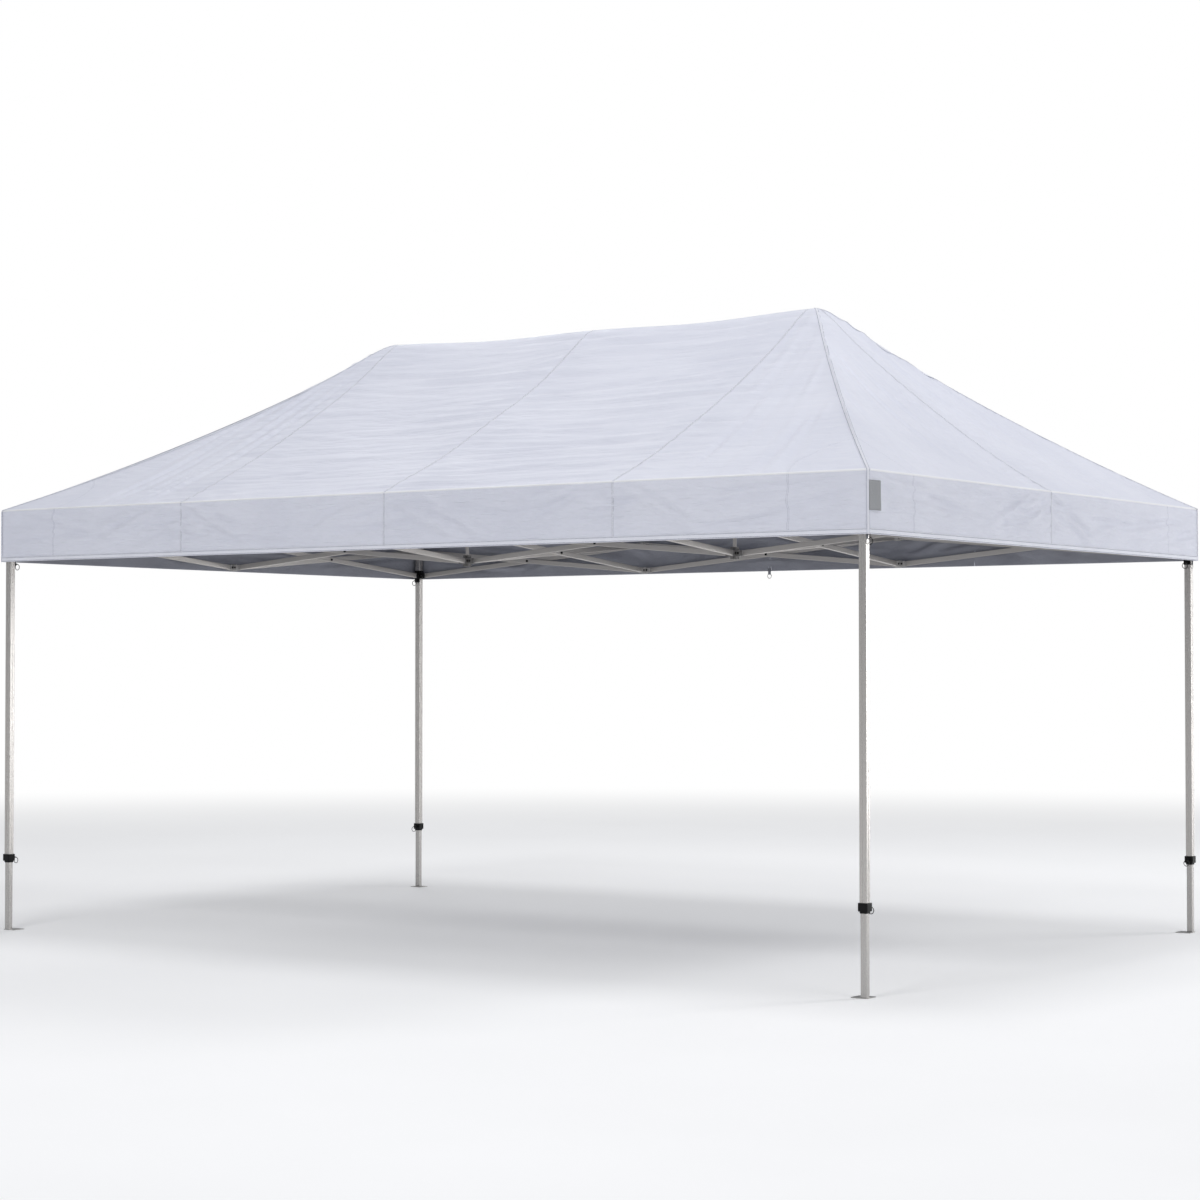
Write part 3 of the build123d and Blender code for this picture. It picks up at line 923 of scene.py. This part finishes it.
def islands(mesh):
    """A number for each vertex, the same over each separate solid of a mesh."""
    co = np.empty(3 * len(mesh.vertices), np.float32)
    mesh.vertices.foreach_get("co", co)
    _, at = np.unique(np.round(co.reshape(-1, 3), 5), axis=0, return_inverse=True)
    at = at.ravel()
    corners = np.array([tuple(p.vertices) for p in mesh.polygons])
    tri = at[corners]
    label = np.arange(at.max() + 1)
    while True:
        lowest = label[tri].min(1)
        fresh = label.copy()
        for k in range(3):
            np.minimum.at(fresh, tri[:, k], lowest)
        fresh = fresh[fresh]
        if (fresh == label).all():
            break
        label = fresh
    return co.reshape(-1, 3), label[at], corners


def paint(node, finishes, choose):
    """Gives each separate solid of a CAD node one of its finishes. choose(low, high) names it."""
    mesh = frame["nodes"][node].data
    co, label, corners = islands(mesh)
    names = list(finishes)
    mesh.materials.clear()
    for name in names:
        mesh.materials.append(finishes[name])
    slots = np.zeros(len(corners), np.int32)
    of_face = label[corners[:, 0]]
    for one in np.unique(label):
        points = co[label == one]
        slots[of_face == one] = names.index(choose(points.min(0), points.max(0)))
    mesh.polygons.foreach_set("material_index", slots)
    mesh.update()


PIN_WIDE = 0.0150
RING_THIN = 0.0040
BOLT_WIDE = 0.020
TUBE_LEAST = 1.0  # outer legs and truss bars are longer
INNER_LEAST = 0.5  # inner legs are longer


def kind_of(low, high):
    """What a small solid is, by its size."""
    size = np.sort(high - low)
    if size[0] < RING_THIN:
        return "ring"
    if size[1] < PIN_WIDE:
        return "pin"
    return "body"


def paint_leg(node):
    def choose(low, high):
        if high[2] - low[2] > TUBE_LEAST:
            return "tube"
        kind = kind_of(low, high)
        if kind != "body":
            return kind
        return "lock" if high[2] < HEM_Z / 2 else "head"

    finishes = {"tube": LEG_METAL, "head": GREY, "lock": BLACK, "ring": DARK_STEEL, "pin": PIN_STEEL}
    paint(node, finishes, choose)


def paint_inner_leg(node):
    def choose(low, high):
        return "tube" if high[2] - low[2] > INNER_LEAST else "foot"

    paint(node, {"tube": INNER_METAL, "foot": STEEL}, choose)


def paint_slider(node):
    paint(node, {"body": BLACK, "ring": DARK_STEEL, "pin": PIN_STEEL}, kind_of)


def paint_bar(node, metal):
    def choose(low, high):
        size = np.sort(high - low)
        if size[2] > TUBE_LEAST:
            return "tube"
        return "bolt" if size[1] < BOLT_WIDE else "plug"

    paint(node, {"tube": metal, "plug": GREY, "bolt": BLACK}, choose)


def paint_bracket(node, plastic):
    paint(node, {"body": plastic, "pin": PIN_STEEL, "ring": STEEL}, kind_of)


def paint_post(node):
    def choose(low, high):
        if high[2] > PEAK_Z - 0.5:
            return "plug" if low[2] > PEAK_Z - 0.2 else "tube"
        return kind_of(low, high)

    finishes = {"body": DARK_GREY, "pin": PIN_STEEL, "ring": STEEL, "tube": POST_METAL, "plug": BLACK}
    paint(node, finishes, choose)


for node in frame["nodes"]:
    if node.startswith("leg_inner"):
        paint_inner_leg(node)
    elif node.startswith("leg_"):
        paint_leg(node)
    elif node.startswith("slider"):
        paint_slider(node)
    elif node.startswith("truss"):
        long_row = node.split("_")[1] in ("front", "middle", "rear")
        paint_bar(node, BAR_METAL_X if long_row else BAR_METAL_Y)
    elif node.startswith("peak_post"):
        paint_post(node)
    elif node.startswith("upper_bracket_centre"):
        paint_bracket(node, DARK_GREY)
    elif "bracket" in node:
        paint_bracket(node, GREY)


def gather_rod():
    """The ridge rod gathers in its sleeve as the fabric does."""
    rod = frame["nodes"]["ridge_rod"]
    rod.data.materials.clear()
    rod.data.materials.append(ROD_PLASTIC)
    store_fold(rod.data)
    carry(rod, FOLD)


gather_rod()


# ---------------------------------------------------------------- small pieces the frame has no node for


def upper_side_bracket(side, end):
    """An upper bracket on a long side: the lower one's mirror image, a truss's height above it.
    It stays in line with the centre bracket of its column and with the leg of its row."""
    lower = frame["nodes"][f"lower_bracket_{side}_{end}"]
    low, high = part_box(f"lower_bracket_{side}_{end}")
    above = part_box("upper_bracket_left_end")[0].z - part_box("lower_bracket_left_end")[0].z
    middle = (low.x + high.x) / 2
    mesh = lower.data.copy()
    co = np.empty(3 * len(mesh.vertices), np.float32)
    mesh.vertices.foreach_get("co", co)
    co = co.reshape(-1, 3)
    co[:, 0] = 2 * middle - co[:, 0]
    co[:, 2] += above
    mesh.vertices.foreach_set("co", co.ravel())
    mesh.flip_normals()
    mesh.update()
    piece = bpy.data.objects.new(f"upper_bracket_{side}_{end}", mesh)
    bpy.context.scene.collection.objects.link(piece)

    def offset(n):
        along_x = n.split(moved(n, f"upper_bracket_centre_{end}"))[0]
        return n.join(x=along_x, y=n.split(moved(n, f"leg_{side}_{end}"))[1])

    carry(piece, carrying_group(f"carry_{side}_{end}", offset))
    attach(piece, ROOT)


for side in ("front", "rear"):
    for end in ("left", "right"):
        upper_side_bracket(side, end)


WIRE_SIDES = 10


def wire_ring(path, radius):
    """A round wire's vertices and faces along a closed list of points."""
    count = len(path)
    vertices, faces = [], []
    normal = (path[1] - path[-1]).normalized().orthogonal()
    for k, point in enumerate(path):
        tangent = (path[(k + 1) % count] - path[k - 1]).normalized()
        normal = (normal - tangent * normal.dot(tangent)).normalized()
        other = tangent.cross(normal)
        for s in range(WIRE_SIDES):
            turn = 2 * math.pi * s / WIRE_SIDES
            vertices.append(point + radius * (math.cos(turn) * normal + math.sin(turn) * other))
        a, b = k * WIRE_SIDES, (k + 1) % count * WIRE_SIDES
        for s in range(WIRE_SIDES):
            t = (s + 1) % WIRE_SIDES
            faces.append((a + s, a + t, b + t, b + s))
    return vertices, faces


RING = 0.0150  # the ring's own radius, to the middle of its wire
RING_WIRE = 0.0021
STRAP_WIDE = 0.017
STRAP_TALL = 0.020
STRAP_BEND = 0.0030


def hem_ring(name, x, y, turn):
    """A steel ring on a folded strap, hanging inside the hem. turn is the hem's direction about Z."""
    along = Vector((math.cos(turn), math.sin(turn), 0))
    strap_foot = HEM_Z - STRAP_TALL
    top = Vector((x, y, strap_foot - RING + RING_WIRE))
    steps = [2 * math.pi * k / 32 for k in range(32)]
    path = [top + along * (RING * math.cos(a)) + Vector((0, 0, RING * math.sin(a))) for a in steps]
    vertices, faces = wire_ring(path, RING_WIRE)
    ring = new_mesh(f"hem_ring_{name}", vertices, faces, (STEEL,))
    folds(ring, (x, y, HEM_Z))
    inwards = Vector((-along.y, along.x, 0))
    loop = []
    for a in np.linspace(0, math.pi, 13):
        loop.append(Vector((0, 0, -STRAP_BEND * math.sin(a))) + inwards * (STRAP_BEND * math.cos(a)))
    rise = Vector((0, 0, HEM_Z + 0.018 - strap_foot))
    profile = [loop[0] + rise, *loop, loop[-1] + rise]
    vertices = []
    for p in profile:
        for c in (-0.5, -0.25, 0, 0.25, 0.5):
            vertices.append(Vector((x, y, strap_foot)) + p + along * (STRAP_WIDE * c))
    strap = new_mesh(f"ring_strap_{name}", vertices, grid_faces(len(profile), 5), (STRAP,))
    solidify(strap, 0.0012, offset=0.0)
    folds(strap, (x, y, HEM_Z))


RING_IN = 0.006  # from the valance's plane to its rings
CORNER_IN = 0.026
for sx, end in ((-1, "left"), (1, "right")):
    for sy, side in ((-1, "front"), (1, "rear")):
        x, y = sx * (HALF_X - CORNER_IN), sy * (HALF_Y - CORNER_IN)
        hem_ring(f"{side}_{end}", x, y, sx * sy * math.pi / -4)
hem_ring("rear_middle", 0.0, HALF_Y - RING_IN, 0.0)


def size_tag():
    """A plain label sewn by its top edge on the right end, next to the front corner. It has no print.
    It is stiff, so it hangs straight in front of the valance's folds."""
    wide, tall = 0.098, 0.145
    top, from_corner = EAVE_Z - 0.050, 0.001
    rows, columns = 12, 8
    drops = EAVE_Z - top + tall * np.linspace(0, 1, rows)
    vertices = []
    for r in range(rows):
        for c in range(columns):
            a, b = c / (columns - 1), r / (rows - 1)
            y = -HALF_Y + from_corner + wide * a
            proud = np.max(valance_offset(np.full(rows, y), drops, HALF_Y, False))
            lift = 0.0032 + 0.002 * b**2 * (0.5 + 0.5 * a)
            vertices.append((HALF_X + float(proud) + lift, y, EAVE_Z - drops[r]))
    piece = new_mesh("size_tag", vertices, grid_faces(rows, columns), (TAG,))
    folds(piece, (HALF_X, -HALF_Y + from_corner + wide / 2, top))
    solidify(piece, 0.0008, offset=0.0)


size_tag()


# ---------------------------------------------------------------- studio


FLOOR_WHITE = (8.5, 20.0)  # the floor turns white between these distances, so no horizon shows


def backdrop():
    """A white surround to the camera, and an even cool light to everything else."""
    world = bpy.data.worlds.new("studio")
    bpy.context.scene.world = world
    world.use_nodes = True
    world.node_tree.nodes.clear()
    n = Nodes(world.node_tree)
    seen = n.add("ShaderNodeLightPath").outputs["Is Camera Ray"]
    light = n.add("ShaderNodeBackground", {"Color": (0.935, 0.955, 1.0, 1.0), "Strength": 0.32})
    white = n.add("ShaderNodeBackground", {"Color": (1.0, 1.0, 1.0, 1.0), "Strength": 1.0})
    shown = n.add("ShaderNodeMixShader", {0: seen, 1: light.outputs[0], 2: white.outputs[0]})
    n.add("ShaderNodeOutputWorld", {0: shown.outputs[0]})
    bpy.context.scene.view_settings.view_transform = "Standard"


def floor():
    """A matt pale floor that fades to the surround."""
    size = 80.0
    corners = [(-size, -size, 0), (size, -size, 0), (size, size, 0), (-size, size, 0)]
    m, n = material("pale_floor")
    point = object_point(n)
    tone = ramp(n, texture(n, point, 0.6, 3.0), 0.3, 0.7, (0.87, 0.872, 0.88), (0.90, 0.902, 0.91))
    matte = n.add("ShaderNodeBsdfPrincipled", {"Base Color": tone, "Roughness": 0.8})
    matte.inputs["Specular IOR Level"].default_value = 0.2
    matte.inputs["Emission Color"].default_value = (1.0, 1.0, 1.0, 1.0)
    matte.inputs["Emission Strength"].default_value = 0.22
    white = n.add("ShaderNodeEmission", {"Color": (1.0, 1.0, 1.0, 1.0), "Strength": 1.0})
    away = n.add("ShaderNodeVectorMath", {0: point}, operation="LENGTH").outputs["Value"]
    fade = n.add("ShaderNodeMapRange", {0: away, 1: FLOOR_WHITE[0], 2: FLOOR_WHITE[1], 3: 0.0, 4: 1.0})
    fade.interpolation_type = "SMOOTHSTEP"
    shown = n.add("ShaderNodeMixShader", {0: fade.outputs[0], 1: matte.outputs[0], 2: white.outputs[0]})
    n.add("ShaderNodeOutputMaterial", {0: shown.outputs[0]})
    plane = new_mesh("floor", corners, [(0, 1, 2, 3)], (m,), smooth_faces=False)
    plane.location.z = -0.0005


AIM = Vector((0.0, 0.0, 2.4))  # what the lights look at


def soft_light(name, place, power, size=(4.0, 4.0)):
    light = bpy.data.lights.new(name, "AREA")
    light.shape = "RECTANGLE"
    light.size, light.size_y = size
    light.energy = power
    lamp = bpy.data.objects.new(name, light)
    lamp.location = place
    lamp.rotation_euler = (AIM - Vector(place)).to_track_quat("-Z", "Y").to_euler()
    bpy.context.scene.collection.objects.link(lamp)


def camera():
    lens = bpy.data.cameras.new("camera")
    lens.lens = 81.02
    lens.sensor_width = 36.0
    seat = bpy.data.objects.new("camera", lens)
    seat.location = (9.362, -13.297, 1.581)
    seat.rotation_euler = (math.radians(91.432), 0.0, math.radians(35.07))
    bpy.context.scene.collection.objects.link(seat)
    bpy.context.scene.camera = seat


backdrop()
floor()
soft_light("top", (0.0, 0.0, 14.0), 340)
soft_light("key", (2.5, -12.5, 14.0), 650)
soft_light("side", (11.0, -5.0, 13.0), 250)
soft_light("rear_right", (9.0, 9.0, 12.0), 500)
soft_light("rear_left", (-10.0, 9.0, 11.0), 230)
soft_light("edge", (9.3, 11.5, 2.3), 230, (2.6, 4.4))
camera()
